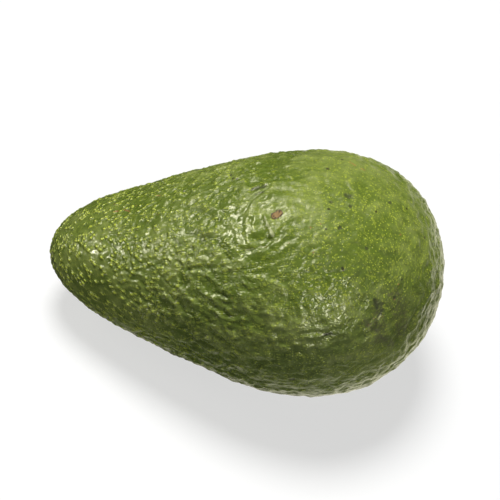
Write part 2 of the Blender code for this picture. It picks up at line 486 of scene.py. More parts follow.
MARKS: tuple[Mark, ...] = (
    Mark(MarkKind.DARK, (184.0, 191.0), 0.30 * MM),
    Mark(MarkKind.DARK, (231.0, 175.0), 0.35 * MM),
    Mark(MarkKind.DARK, (233.5, 178.0), 0.42 * MM),
    Mark(MarkKind.DARK, (237.0, 179.0), 0.32 * MM),
    Mark(MarkKind.DARK, (342.2, 159.5), 0.50 * MM),
    Mark(MarkKind.DARK, (327.7, 168.7), 0.50 * MM),
    Mark(MarkKind.DARK, (329.0, 209.0), 0.42 * MM),
    Mark(MarkKind.DARK, (376.3, 211.5), 0.35 * MM),
    Mark(MarkKind.DARK, (406.8, 208.8), 0.38 * MM),
    Mark(MarkKind.DARK, (392.0, 173.0), 0.40 * MM),
    Mark(MarkKind.DARK, (326.0, 229.2), 0.30 * MM),
    Mark(MarkKind.DARK, (342.0, 267.6), 0.30 * MM, (343.4, 270.2)),
    Mark(MarkKind.DARK, (279.4, 211.4), 0.34 * MM),
    Mark(MarkKind.DARK, (275.2, 217.9), 0.32 * MM),
    Mark(MarkKind.DARK, (276.4, 210.6), 0.22 * MM),
    Mark(MarkKind.DARK, (271.9, 214.0), 0.24 * MM),
    Mark(MarkKind.DARK, (424.6, 237.5), 0.40 * MM),
    Mark(MarkKind.DARK, (402.0, 279.5), 0.30 * MM),
    Mark(MarkKind.DARK, (326.5, 334.4), 0.20 * MM, (329.0, 333.9)),
    Mark(MarkKind.SMUDGE, (324.0, 334.6), 0.55 * MM, (331.0, 333.6)),
    Mark(MarkKind.SMUDGE, (290.5, 379.5), 0.60 * MM, (293.5, 379.0)),
    Mark(MarkKind.DARK, (154.3, 228.0), 0.28 * MM),
    Mark(MarkKind.RED, (114.8, 204.0), 0.25 * MM),
    Mark(MarkKind.RED, (113.5, 211.5), 0.28 * MM, (118.0, 211.0)),
    Mark(MarkKind.RED, (124.5, 210.0), 0.25 * MM, (129.5, 211.5)),
    Mark(MarkKind.RED, (136.0, 205.5), 0.20 * MM),
    Mark(MarkKind.RED, (157.0, 195.5), 0.22 * MM, (160.0, 195.5)),
    Mark(MarkKind.RED, (158.0, 214.5), 0.22 * MM),
    Mark(MarkKind.RED, (310.7, 227.4), 0.28 * MM),
    Mark(MarkKind.RED, (320.7, 223.8), 0.25 * MM),
    Mark(MarkKind.RED, (400.5, 234.7), 0.25 * MM),
    Mark(MarkKind.RED, (232.0, 298.0), 0.22 * MM),
    Mark(MarkKind.RED, (288.5, 243.0), 0.20 * MM),
    Mark(MarkKind.RED, (266.0, 247.0), 0.20 * MM),
    Mark(MarkKind.RED, (313.5, 252.5), 0.20 * MM),
    Mark(MarkKind.RED, (349.5, 161.8), 0.20 * MM, (355.5, 165.5)),
    Mark(MarkKind.RED, (361.0, 168.7), 0.22 * MM, (364.5, 170.0)),
    Mark(MarkKind.RED, (398.2, 284.2), 0.28 * MM),
    Mark(MarkKind.SMUDGE, (254.0, 188.8), 0.75 * MM, (264.5, 186.3)),
    Mark(MarkKind.SMUDGE, (256.0, 194.0), 0.40 * MM, (263.0, 192.2)),
    Mark(MarkKind.SMUDGE, (347.0, 195.0), 0.80 * MM, (350.0, 197.0)),
    Mark(MarkKind.SMUDGE, (331.0, 202.0), 0.55 * MM),
    Mark(MarkKind.SMUDGE, (350.0, 206.5), 0.60 * MM),
    Mark(MarkKind.SMUDGE, (340.0, 228.3), 0.65 * MM),
    Mark(MarkKind.SMUDGE, (390.0, 202.5), 0.60 * MM),
    Mark(MarkKind.SMUDGE, (366.5, 248.5), 0.50 * MM),
    Mark(MarkKind.SMUDGE, (374.5, 300.0), 0.50 * MM, (377.0, 308.0)),
    Mark(MarkKind.SMUDGE, (383.0, 309.5), 0.36 * MM, (378.0, 316.5)),
    Mark(MarkKind.SMUDGE, (394.0, 297.0), 0.60 * MM),
    # painted shade: these deep green patches darken places low on the belly and on the broad end
    Mark(MarkKind.SHADE, (200.0, 306.0), 6.5 * MM, (225.0, 312.0)),
    Mark(MarkKind.SHADE, (215.0, 284.0), 4.6 * MM, (246.0, 292.0)),
    Mark(MarkKind.SHADE, (322.0, 338.0), 5.0 * MM, (345.0, 336.0)),
    Mark(MarkKind.SHADE, (360.0, 249.0), 3.6 * MM),
    Mark(MarkKind.BRUISE, (395.0, 297.0), 2.6 * MM, (402.0, 330.0)),
    Mark(MarkKind.BRUISE, (377.0, 303.0), 1.8 * MM, (379.0, 338.0)),
    Mark(MarkKind.BRUISE, (366.0, 322.0), 1.2 * MM, (392.0, 345.0)),
    Mark(MarkKind.PALE_SCAR_AND_GLOSS, (378.6, 319.5), 0.22 * MM, (380.5, 315.0)),
    # painted highlight: these pale lines along the whorl's ridges stand in for their gloss
    Mark(MarkKind.PALE_SCAR_AND_GLOSS, (264.8, 217.0), 0.30 * MM, (267.0, 224.0)),
    Mark(MarkKind.PALE_SCAR_AND_GLOSS, (267.0, 224.0), 0.50 * MM, (272.6, 235.0)),
    Mark(MarkKind.PALE_SCAR_AND_GLOSS, (262.0, 246.8), 0.28 * MM, (246.0, 250.0)),
    Mark(MarkKind.RED, (394.5, 299.3), 0.18 * MM),
    Mark(MarkKind.RED, (374.0, 318.6), 0.15 * MM),
    Mark(MarkKind.RED, (383.0, 316.6), 0.15 * MM),
    Mark(MarkKind.RED, (368.4, 324.8), 0.15 * MM),
)

FOLDS: tuple[Fold, ...] = (
    Fold(((264.5, 216.0), (268.0, 225.0), (273.0, 236.5)), 0.70 * MM, 0.30 * MM),
    Fold(((261.5, 219.0), (264.5, 229.0), (269.5, 239.0)), 0.60 * MM, -0.30 * MM),
    Fold(((273.0, 238.5), (268.0, 243.5), (262.0, 247.5)), 0.60 * MM, -0.30 * MM),
    Fold(((262.0, 247.5), (254.0, 249.0), (244.5, 251.0)), 0.60 * MM, -0.34 * MM),
    Fold(((251.5, 204.0), (259.0, 199.5), (266.0, 196.0), (274.0, 194.6)), 0.80 * MM, 0.30 * MM),
    Fold(((274.0, 194.6), (288.0, 196.0), (300.0, 198.6), (308.5, 204.0)), 0.80 * MM, 0.28 * MM),
    Fold(((266.0, 183.0), (283.0, 181.3), (298.0, 182.3), (310.0, 186.0)), 0.80 * MM, 0.28 * MM),
    Fold(((275.0, 236.0), (286.0, 232.5), (300.0, 231.0), (315.0, 227.0)), 0.50 * MM, -0.16 * MM),
    Fold(((240.0, 222.0), (240.5, 217.0), (247.0, 214.0), (254.0, 216.5)), 0.55 * MM, 0.22 * MM),
    Fold(((254.0, 216.5), (256.0, 222.0), (250.0, 226.0), (240.0, 222.0)), 0.55 * MM, 0.18 * MM),
    Fold(((229.0, 229.0), (240.0, 231.5), (252.0, 231.0), (262.0, 233.0)), 0.70 * MM, 0.24 * MM),
    Fold(((229.0, 212.0), (238.0, 209.0), (246.0, 208.5)), 0.70 * MM, 0.20 * MM),
    Fold(((226.5, 239.0), (232.0, 241.5), (240.0, 243.5), (250.0, 246.0)), 0.80 * MM, 0.24 * MM),
    Fold(((377.0, 301.0), (377.5, 308.0), (379.5, 315.0)), 0.75 * MM, -0.42 * MM),
    Fold(((383.5, 310.5), (381.5, 315.0), (379.0, 319.0)), 0.45 * MM, 0.20 * MM),
    Fold(((335.0, 218.0), (336.5, 226.0), (334.0, 233.0)), 0.90 * MM, 0.14 * MM),
    Fold(((410.0, 259.0), (415.5, 274.0), (419.0, 291.0)), 0.70 * MM, 0.16 * MM),
    Fold(((323.0, 243.0), (318.0, 250.0), (311.0, 256.0)), 0.90 * MM, 0.16 * MM),
)

SCAB_ENDS: tuple[Pixel, Pixel] = ((274.8, 215.4), (278.6, 213.1))
GLOSSY: tuple[tuple[Pixel, float], ...] = (((252.0, 222.0), 12.0 * MM), ((325.0, 300.0), 8.5 * MM))


@dataclass(frozen=True)
class SkinFinish:
    """The rind: waxy green with yellow-green pores on its pebbles, and its marks."""

    deep: Colour = (0.072, 0.104, 0.016, 1.0)
    leaf: Colour = (0.131, 0.166, 0.039, 1.0)
    # pale grey-green: random pale patches, and painted light on the relief's crests
    haze: Colour = (0.152, 0.173, 0.060, 1.0)
    # painted shade in the valleys and round the pebbles' feet, and the dark part of the mottling
    shade_and_mottle_green: Colour = (0.050, 0.080, 0.008, 1.0)
    # a duller, greyer green that the skin turns to towards the underside
    underside_grey: Colour = (0.122, 0.126, 0.068, 1.0)
    pore: Colour = (0.245, 0.295, 0.030, 1.0)
    neck_pore: Colour = (0.300, 0.355, 0.042, 1.0)
    small_pore: Colour = (0.300, 0.345, 0.038, 1.0)
    dark: Colour = (0.016, 0.014, 0.010, 1.0)
    red: Colour = (0.240, 0.072, 0.045, 1.0)
    # the pale scratch by the gouge, and painted gloss along the whorl's ridges
    pale: Colour = (0.300, 0.310, 0.180, 1.0)
    bruise: Colour = (0.066, 0.066, 0.030, 1.0)
    smudge: Colour = (0.036, 0.044, 0.018, 1.0)
    cork: Colour = (0.200, 0.125, 0.050, 1.0)
    cork_dark: Colour = (0.028, 0.016, 0.010, 1.0)

    broad_size: float = 26.0 * MM
    patch_size: float = 5.5 * MM
    patch_stretch: Triple = (0.6, 1.0, 1.0)
    fine_size: float = 0.9 * MM
    leaf_span: Span = (0.40, 0.62)
    haze_span: Span = (0.52, 0.68)
    haze_share: Trend = Trend(0.25, 0.20)
    valley_shade_span: Span = (-0.45 * MM, 0.15 * MM)  # painted shade in the relief's valleys; heights of the relief, as the next span
    valley_shade_share: Trend = Trend(0.75, 0.0, -0.40)
    # painted light: the relief's crests are paler
    lit_crest_span: Span = (0.10 * MM, 0.70 * MM)
    lit_crest_share: Trend = Trend(0.22, 0.18, -0.30)
    underside_grey_span: Span = (-6.0 * MM, -18.0 * MM)  # heights over the fruit's axis
    underside_grey_share: Trend = Trend(0.25, 0.30)
    mottle_size: float = 1.6 * MM
    mottle_stretch: Triple = (0.8, 1.0, 1.0)
    light_mottle: tuple[Span, float] = ((0.50, 0.72), 0.07)
    dark_mottle: tuple[Span, float] = ((0.30, 0.50), 0.18)

    stray_size: float = 1.3 * MM  # of the noise that makes each pore uneven
    stray_reach: float = 0.50 * MM
    pebble_span: Span = (0.62 * MM, 0.90 * MM)  # how far a pebble's own colour and bump reach
    foot_shade_rise: Span = (0.45 * MM, 0.70 * MM)  # painted shade: the darker ring at a pebble's foot
    foot_shade_fall: Span = (0.85 * MM, 1.20 * MM)
    foot_shade_share: Trend = Trend(0.60, -0.38, -0.18)
    pore_stretch: Triple = (0.52, 1.0, 1.0)  # makes the neck's pores longer
    pore_ragged: float = 0.36 * MM
    pore_radius: Trend = Trend(0.21 * MM, -0.08 * MM)
    pore_chance: float = 0.15 * MM
    pore_edge: Span = (-0.11 * MM, 0.10 * MM)
    pore_share: Trend = Trend(1.0, -0.3, -0.3)
    pore_standing: Span = (0.18, 0.80)  # of each pore, and what it gains where its pebble stands out
    far_side: tuple[Span, float] = ((-6.0 * MM, 20.0 * MM), 0.45)  # where pores get fainter
    small_pore_spacing: float = 0.72 * MM
    small_pore_span: Span = (0.17, 0.31)
    small_pore_ragged: float = 0.12
    small_pore_share: Trend = Trend(0.13, 0.0, 0.52)
    small_pore_under: float = 0.5  # what they lose on the underside

    mark_size: float = 0.7 * MM  # of the noise that makes the edges of marks uneven
    mark_ragged: float = 0.9  # as a share of a mark's radius, as the next span
    mark_edge: Span = (0.55, 1.25)
    dark_share: float = 0.88
    scab_edge: Span = (0.96, 1.06)  # as shares of the scab's radius, as the next span
    scab_rim: Span = (0.50, 0.95)
    scab_dark: float = 0.9
    scab_ragged: float = 0.30 * MM
    pit_spacing: float = 0.95 * MM
    pit_span: Span = (0.26, 0.44)
    pit_depth: float = 0.15 * MM

    ring_share: float = 0.55  # size of the material's rings round the scab, against the mesh's
    ring_calm: float = 0.6  # how much of the other detail the rings take away
    ring_pore: float = 0.5  # and how much of the pores

    roughness: float = 0.19
    roughness_gain: Trend = Trend(0.0, 0.07, 0.06)
    rubbed: float = 0.06  # how much smoother the rubbed places are
    ior: float = 1.46
    grain_size: float = 0.32 * MM
    scale_size: float = 1.3 * MM
    scale_stretch: Triple = (0.7, 1.0, 1.0)
    plate_size: float = 2.3 * MM
    plate_span: Span = (0.46, 0.56)
    curl_size: float = 1.55 * MM
    curl_span: Span = (0.42, 0.58)
    line_size: float = 0.9 * MM
    line_stretch: Triple = (0.18, 1.0, 1.0)
    tip_span: Span = (0.06 * MM, 0.60 * MM)
    dome_height: Trend = Trend(0.010 * MM, 0.010 * MM, 0.025 * MM)  # from here on, of the bump
    grain_height: float = 0.005 * MM
    fine_height: Trend = Trend(0.008 * MM, 0.0, 0.016 * MM)
    mottle_height: Trend = Trend(0.014 * MM, 0.0, 0.020 * MM)
    scale_height: float = 0.010 * MM
    plate_height: Trend = Trend(0.004 * MM, 0.066 * MM, -0.060 * MM)
    curl_height: Trend = Trend(0.0, 0.010 * MM, 0.070 * MM)
    tip_height: Trend = Trend(0.19 * MM, -0.095 * MM, -0.057 * MM)
    ring_height: float = 0.12 * MM
    line_height: float = 0.10 * MM


@dataclass(frozen=True)
class CorkFinish:
    """The stalk's stub: dry, brown and cracked."""

    bark: Colour = (0.170, 0.100, 0.040, 1.0)
    crack: Colour = (0.030, 0.018, 0.010, 1.0)
    pale: Colour = (0.330, 0.235, 0.120, 1.0)
    roughness: float = 0.85


@dataclass(frozen=True)
class FloorFinish:
    """The plain pale floor."""

    colour: Colour = (0.20, 0.205, 0.215, 1.0)
    roughness: float = 0.75
    glow: float = 0.62  # lifts the shadow, as a light table does


@dataclass
class Fruit:
    """The fruit's body, grown by Geometry Nodes over the whole form in one closed skin."""

    form: PearForm
    view: PhotoView
    finish: SkinFinish = field(default_factory=SkinFinish)
    cells_along: int = 176
    cells_across: int = 107
    seed: int = 4
    bulk_span: Span = (0.15, 0.55)  # stations, as shares of the length, from neck to belly
    calm_span: Span = (0.54, 0.78)  # stations from the belly to the calm broad end
    under_span: Span = (-8.0 * MM, -19.0 * MM)  # heights over the axis where the underside starts
    waver_size: float = 9.0 * MM  # of the noise that keeps the relief's rows from being straight
    waver_reach: float = 5.0 * MM

    grain_squeeze: float = 0.58  # how much shorter the pebbles' frame is along the grain
    grain_slant: float = 0.47  # how steeply the grain falls from the axis on the neck's sides
    grain_level: float = 72.0 * MM  # the station where it runs along the axis
    row_stretch: Triple = (0.75, 1.0, 1.0)
    ripple_size: float = 3.6 * MM
    ripple_height: float = 1.20 * MM
    ripple_share: Trend = Trend(0.30, 0.70, -0.45)
    rim_fold_size: float = 3.0 * MM
    rim_fold_stretch: Triple = (1.5, 0.5, 0.5)
    rim_fold_share: float = 0.9
    wrinkle_size: float = 2.0 * MM
    wrinkle_height: float = 2.05 * MM
    wrinkle_share: Trend = Trend(0.13, 0.87, -0.50)
    lean: Triple = (0.0, -1.9 * MM, -2.4 * MM)  # makes one side of each wrinkle steeper
    streak_size: float = 1.9 * MM  # the long wrinkles of the underside
    streak_stretch: Triple = (0.28, 1.0, 1.0)
    streak_share: Trend = Trend(0.60, 0.0, -0.30)
    ridge_size: float = 5.0 * MM
    ridge_height: float = 0.09 * MM
    ridge_share: Trend = Trend(1.0, -0.7, -0.2)
    ridge_width: float = 0.075
    crease_depth: float = 0.08 * MM
    crease_share: Trend = Trend(1.0, 0.0, -0.8)
    crease_width: float = 0.05
    under_ripple: float = 0.4  # what ripples, wrinkles and pebbles lose on the underside
    under_wrinkle: float = 0.7
    under_pebble: float = 0.55

    pebble_gap: float = 1.24 * MM
    pebble_density: float = 3.0e6  # points strewn over a square metre, before the close ones go
    pebble_radius: float = 0.88 * MM
    pebble_height: float = 0.30 * MM
    pebble_spread: Span = (0.80, 0.35)  # the least share of the radius, and what chance adds
    pebble_shrink: float = 0.30  # what the radius loses on the belly
    pebble_flat: float = 0.12  # the height of those that don't stand out
    pebble_rise: float = 0.95
    belly_pebble: float = 0.45  # what their height loses on the belly and at the broad end
    calm_pebble: float = 0.86
    missing: Trend = Trend(0.30, -0.24)  # the share of pebbles that don't stand out
    missing_span: float = 0.35

    whorl_pixel: Pixel = (274.0, 219.0)
    whorl_size: float = 1.9 * MM  # across the rings; round them it is longer
    whorl_height: float = 1.60 * MM
    whorl_turn: float = 3.0 * MM  # what a radian round the middle counts as
    whorl_way: Span = (-0.25, 0.97)  # the way in the noise that leads outward
    whorl_span: Span = (8.8 * MM, 16.0 * MM)  # the rings die away between these distances
    whorl_eye: Span = (0.8 * MM, 2.5 * MM)  # and between these, in the middle
    whorl_right: float = 7.0 * MM  # they are faint that far to the right of it
    whorl_faint: float = 0.35
    whorl_waver: float = 2.5 * MM
    whorl_calm: float = 0.75  # how much of the other relief they take away
    whorl_pebble: float = 0.6
    scab_radius: float = 1.10 * MM
    scab_depth: float = 0.22 * MM

    def calm(self, graph: Graph, place: Signal) -> Signal:
        """Goes from 0 on the neck to 1 at the broad end, where the skin is calmer."""
        return graph.ramp(graph.parts(place) / self.form.length, *self.calm_span)

    def bulk(self, graph: Graph, place: Signal) -> Signal:
        """Goes from 0 on the neck, whose pebbles are few and large, to 1 on the belly."""
        return graph.ramp(graph.parts(place) / self.form.length, *self.bulk_span)

    def under(self, graph: Graph, place: Signal) -> Signal:
        """Goes from 0 a little below the height of the fruit's axis to 1 on its underside."""
        return graph.ramp(graph.parts(place).output("Z"), *self.under_span)

    def standing(self, graph: Graph, bulk: Signal, chance: Signal) -> Signal:
        """How far a pebble of a chance stands out, from 0 to 1: the neck has fewer of them."""
        return graph.ramp(chance - self.missing.at(bulk, bulk), 0.0, self.missing_span)

    def grain(self, graph: Graph, place: Signal) -> Signal:
        """Carries a place to the frame of the skin's grain, which is squeezed along it.

        Args:
            graph: The tree that works it out.
            place: The place on the plain form.

        Returns:
            The place in that frame.
        """
        parts = graph.parts(place)
        station = parts.output("X")
        bend = station * (1.0 - station / (2.0 * self.grain_level)) * self.grain_slant
        squeezed = station * self.grain_squeeze
        return graph.join(squeezed, parts.output("Y"), parts.output("Z") + bend)

    def whorl(
        self, graph: Graph, place: Signal, middle: Value, size: float
    ) -> tuple[Signal, Signal]:
        """Rings of skin about a middle.

        Args:
            graph: The tree that works them out.
            place: The place on the plain form.
            middle: Their middle on the plain form.
            size: How wide the rings are.

        Returns:
            The rings as a noise, and how strongly they show, from 0 to 1.
        """
        away = graph.vector("SUBTRACT", place, middle)
        far = graph.measure("LENGTH", away)
        turned = graph.scaled(graph.vector("NORMALIZE", away), self.whorl_turn)
        outward = graph.join(0.0, far * self.whorl_way[0], far * self.whorl_way[1])
        rings = graph.noise(graph.vector("ADD", turned, outward), size, 1.0)
        right = graph.ramp(graph.parts(away), 0.0, self.whorl_right, 1.0, self.whorl_faint)
        shown = graph.fade(far, *self.whorl_span) * right * graph.ramp(far, *self.whorl_eye)
        return rings, shown

    def _plain_place(self, graph: Graph, inputs: Signal) -> Signal:
        """Carries the points of a cube of 2 units to the plain form.

        Args:
            graph: The geometry group.
            inputs: Its inputs.

        Returns:
            The new place of each point.
        """
        corner = graph.parts(graph.add("GeometryNodeInputPosition"))
        even = [graph.math("TANGENT", corner.output(axis) * (math.pi / 4.0)) for axis in "XYZ"]
        way = graph.parts(graph.vector("NORMALIZE", graph.join(*even)))
        length = inputs.output("Length")
        neck, belly = inputs.output("Neck Girth"), inputs.output("Belly Girth")
        share = (way.output("X") + 1.0) / 2.0
        swell = graph.ramp(share, self.form.swell_start, self.form.swell_end)
        spread = (neck + swell * (belly - neck)) * length / 2.0
        rise = share * share * inputs.output("Bow")
        height = way.output("Z") * spread + rise
        return graph.join(share * length, way.output("Y") * spread, height)

    def _nearest_pebble(
        self, graph: Graph, inputs: Signal, plain: Signal
    ) -> tuple[Signal, Signal, Signal]:
        """Strews pebbles evenly over the plain form.

        Args:
            graph: The geometry group.
            inputs: Its inputs.
            plain: The plain form's mesh.

        Returns:
            The way from the nearest pebble's middle to each point in the grain's frame, its
            length, and that pebble's random number from 0 to 1.
        """
        place = graph.add("GeometryNodeInputPosition")
        grainy = self.grain(graph, place)
        values = {"Geometry": plain, "Position": grainy}
        squeezed = graph.add("GeometryNodeSetPosition", {}, values)
        strewn = graph.add(
            "GeometryNodeDistributePointsOnFaces",
            {"distribute_method": "POISSON"},
            {
                "Mesh": squeezed,
                "Distance Min": inputs.output("Pebble Gap"),
                "Density Max": self.pebble_density,
                "Seed": self.seed,
            },
        )
        index = graph.add(
            "GeometryNodeSampleNearest",
            {"domain": "POINT"},
            {"Geometry": strewn, "Sample Position": grainy},
        )
        middle = graph.add(
            "GeometryNodeSampleIndex",
            {"data_type": "FLOAT_VECTOR", "domain": "POINT"},
            {"Geometry": strewn, "Value": place, "Index": index},
        )
        offset = graph.vector("SUBTRACT", grainy, middle)
        values = {"ID": index, "Seed": self.seed}
        chance = graph.add("FunctionNodeRandomValue", {"data_type": "FLOAT"}, values, 1)
        return offset, graph.measure("LENGTH", offset), chance

    def _lumps(self, graph: Graph, place: Signal) -> Signal:
        """The broad lumps of the fruit's form.

        Args:
            graph: The geometry group.
            place: The place on the plain form.

        Returns:
            Their height over the plain form.
        """
        swings = []
        for wave, phase in self.form.waves():
            turn = graph.measure("DOT_PRODUCT", place, tuple(wave)) + phase
            swings.append(graph.math("SINE", turn))
        total = swings[0]
        for swing in swings[1:]:
            total = total + swing
        return total * (self.form.lump_height / math.sqrt(self.form.lump_waves))

    def _unrest(self, graph: Graph, inputs: Signal, waver: Signal, place: Signal) -> Signal:
        """The ripples, wrinkles, streaks, ridges and creases of the skin.

        Args:
            graph: The geometry group.
            inputs: Its inputs.
            waver: A broad noise in three directions, which bends the rows.
            place: The place on the plain form.

        Returns:
            Their height over the plain form.
        """
        calm, bulk = self.calm(graph, place), self.bulk(graph, place)
        under = self.under(graph, place)
        strayed = graph.vector("MULTIPLY_ADD", waver, (self.waver_reach,) * 3, place)
        grainy = graph.stretch(self.grain(graph, strayed), self.row_stretch)

        along = graph.noise(grainy, self.ripple_size, 1.0) - 0.5
        folded = graph.stretch(strayed, self.rim_fold_stretch)
        around = graph.noise(folded, self.rim_fold_size, 1.0) - 0.5
        ripples = along * self.ripple_share.at(bulk, calm) + around * calm * self.rim_fold_share

        first = graph.noise(grainy, self.wrinkle_size, 0.0) - 0.5
        leant = graph.vector("ADD", grainy, graph.scaled(self.lean, first))
        wrinkles = graph.noise(leant, self.wrinkle_size, 1.0)
        streaked = graph.stretch(strayed, self.streak_stretch)
        streaks = graph.noise(streaked, self.streak_size, 1.0) - 0.5
        rows = (wrinkles - 0.5) * self.wrinkle_share.at(bulk, calm)
        rows = rows * (1.0 - under * self.under_wrinkle)
        rows = rows + streaks * under * self.streak_share.at(bulk, calm)

        loops = graph.noise(grainy, self.ridge_size, 0.0)
        ridges = graph.crossing(loops, self.ridge_width) * self.ridge_share.at(bulk, calm)
        creases = graph.crossing(wrinkles, self.crease_width) * bulk
        creases = creases * self.crease_share.at(bulk, calm)
        return (
            ripples * (1.0 - under * self.under_ripple) * inputs.output("Ripple Height")
            + rows * inputs.output("Wrinkle Height")
            + ridges * inputs.output("Ridge Height")
            - creases * inputs.output("Crease Depth")
        )

    def _relief(self, graph: Graph, inputs: Signal, distance: Signal, chance: Signal) -> Signal:
        """How far each point of the plain form is moved out along its normal.

        Args:
            graph: The geometry group.
            inputs: Its inputs.
            distance: How far the nearest pebble's middle is.
            chance: That pebble's random number.

        Returns:
            The height over the plain form.
        """
        place = graph.add("GeometryNodeInputPosition")
        foot, _ = self.form.stem_place()
        from_stem = graph.measure("DISTANCE", place, tuple(foot))
        radius, depth = self.form.hollow_radius, self.form.hollow_depth
        hollow = graph.ramp(from_stem, 0.0, radius, depth, 0.0)
        off_stem = graph.ramp(from_stem, radius * 0.5, radius * 1.1)

        coloured = graph.noise(place, self.waver_size, 1.0).output("Color")
        waver = graph.vector("SUBTRACT", coloured, (0.5,) * 3)
        unrest = self._unrest(graph, inputs, waver, place)
        bent = graph.vector("MULTIPLY_ADD", waver, (self.whorl_waver,) * 3, place)
        rings, shown = self.whorl(graph, bent, inputs.output("Whorl Middle"), self.whorl_size)
        rings = (rings - 0.5) * shown * inputs.output("Whorl Height")
        unrest = unrest * (1.0 - shown * self.whorl_calm) + rings

        calm, bulk = self.calm(graph, place), self.bulk(graph, place)
        least, more = self.pebble_spread
        reach = self.pebble_radius * (least + chance * more) * (1.0 - bulk * self.pebble_shrink)
        share = (1.0 - calm * self.calm_pebble) * (1.0 - bulk * self.belly_pebble)
        share = share * (1.0 - shown * self.whorl_pebble)
        share = share * (1.0 - self.under(graph, place) * self.under_pebble)
        rise = self.standing(graph, bulk, chance) * self.pebble_rise + self.pebble_flat
        pebbles = graph.fade(distance, 0.0, reach) * rise * share * inputs.output("Pebble Height")
        lumps = self._lumps(graph, place)
        return lumps - hollow + (unrest + pebbles) * off_stem - self.form.sink

    def skin_tree(self) -> bpy.types.NodeTree:
        """The geometry group that grows the skin from nothing but its sizes."""
        tree = bpy.data.node_groups.new("pebbled_pear", "GeometryNodeTree")
        for name, kind in (
            ("Geometry", "NodeSocketGeometry"),
            ("Cells Along", "NodeSocketInt"),
            ("Cells Across", "NodeSocketInt"),
            ("Length", "NodeSocketFloat"),
            ("Neck Girth", "NodeSocketFloat"),
            ("Belly Girth", "NodeSocketFloat"),
            ("Bow", "NodeSocketFloat"),
            ("Pebble Gap", "NodeSocketFloat"),
            ("Pebble Height", "NodeSocketFloat"),
            ("Ripple Height", "NodeSocketFloat"),
            ("Wrinkle Height", "NodeSocketFloat"),
            ("Ridge Height", "NodeSocketFloat"),
            ("Crease Depth", "NodeSocketFloat"),
            ("Whorl Height", "NodeSocketFloat"),
            ("Whorl Middle", "NodeSocketVector"),
            ("Skin", "NodeSocketMaterial"),
        ):
            tree.interface.new_socket(name, in_out="INPUT", socket_type=kind)
        tree.interface.new_socket("Geometry", in_out="OUTPUT", socket_type="NodeSocketGeometry")
        graph = Graph(tree)
        inputs = graph.add("NodeGroupInput")
        along, across = inputs.output("Cells Along") + 1, inputs.output("Cells Across") + 1
        corners = {"Vertices X": along, "Vertices Y": across, "Vertices Z": across}
        box = graph.add("GeometryNodeMeshCube", {}, {"Size": (2.0,) * 3, **corners})
        values = {"Geometry": box, "Position": self._plain_place(graph, inputs)}
        plain = graph.add("GeometryNodeSetPosition", {}, values)
        from_pebble, distance, chance = self._nearest_pebble(graph, inputs, plain)
        relief = self._relief(graph, inputs, distance, chance)
        kept = plain
        for name, value in (
            (PEBBLE_FACTS, graph.join(distance, chance, relief)),
            (FROM_PEBBLE, from_pebble),
            (PLAIN_PLACE, graph.add("GeometryNodeInputPosition")),
        ):
            kept = graph.add(
                "GeometryNodeStoreNamedAttribute",
                {"data_type": "FLOAT_VECTOR", "domain": "POINT"},
                {"Geometry": kept, "Name": name, "Value": value},
            )
        held = graph.add(
            "GeometryNodeInputNamedAttribute",
            {"data_type": "FLOAT_VECTOR"},
            {"Name": PEBBLE_FACTS},
            "Attribute",
        )
        normal = graph.add("GeometryNodeInputNormal")
        offset = graph.scaled(normal, graph.parts(held).output("Z"))
        raised = graph.add("GeometryNodeSetPosition", {}, {"Geometry": kept, "Offset": offset})
        placed = self.form.resting_matrix()
        laid = graph.add(
            "GeometryNodeTransform",
            {},
            {
                "Geometry": raised,
                "Translation": tuple(placed.to_translation()),
                "Rotation": tuple(placed.to_euler()),
            },
        )
        point = graph.parts(graph.add("GeometryNodeInputPosition"))
        height = graph.math("MAXIMUM", point.output("Z"), 0.0)
        flat = graph.join(point.output("X"), point.output("Y"), height)
        pressed = graph.add("GeometryNodeSetPosition", {}, {"Geometry": laid, "Position": flat})
        smooth = graph.add("GeometryNodeSetShadeSmooth", {}, {"Geometry": pressed})
        real = graph.add("GeometryNodeRealizeInstances", {}, {"Geometry": smooth})
        values = {"Geometry": real, "Material": inputs.output("Skin")}
        dressed = graph.add("GeometryNodeSetMaterial", {}, values)
        graph.add("NodeGroupOutput", {}, {0: dressed})
        return tree

    def grow(self, skin: bpy.types.Material, solid: bpy.types.Object) -> bpy.types.Object:
        """Evaluates the skin's tree once and keeps the result as a plain mesh.

        Args:
            skin: The material, which may still be empty.
            solid: The frame's own fruit, on which the whorl's middle is looked up.

        Returns:
            The new fruit.
        """
        middle = self.view.find(solid, [self.whorl_pixel])[0]
        tree = self.skin_tree()
        seed = bpy.data.objects.new("skin_seed", bpy.data.meshes.new("skin_seed"))
        bpy.context.scene.collection.objects.link(seed)
        modifier = seed.modifiers.new("skin", "NODES")
        modifier.node_group = tree
        sizes = {
            "Cells Along": self.cells_along,
            "Cells Across": self.cells_across,
            "Length": self.form.length,
            "Neck Girth": self.form.neck_girth,
            "Belly Girth": self.form.belly_girth,
            "Bow": self.form.bow,
            "Pebble Gap": self.pebble_gap,
            "Pebble Height": self.pebble_height,
            "Ripple Height": self.ripple_height,
            "Wrinkle Height": self.wrinkle_height,
            "Ridge Height": self.ridge_height,
            "Crease Depth": self.crease_depth,
            "Whorl Height": self.whorl_height,
            "Whorl Middle": tuple(self.form.resting_matrix().inverted() @ middle),
            "Skin": skin,
        }
        for item in tree.interface.items_tree:
            if item.name in sizes:
                modifier[item.identifier] = sizes[item.name]
        grown = seed.evaluated_get(bpy.context.evaluated_depsgraph_get())
        mesh = bpy.data.meshes.new_from_object(grown)
        bpy.data.objects.remove(seed)
        mesh.name = "avocado_fruit"
        made = bpy.data.objects.new("avocado_fruit", mesh)
        bpy.context.scene.collection.objects.link(made)
        return made

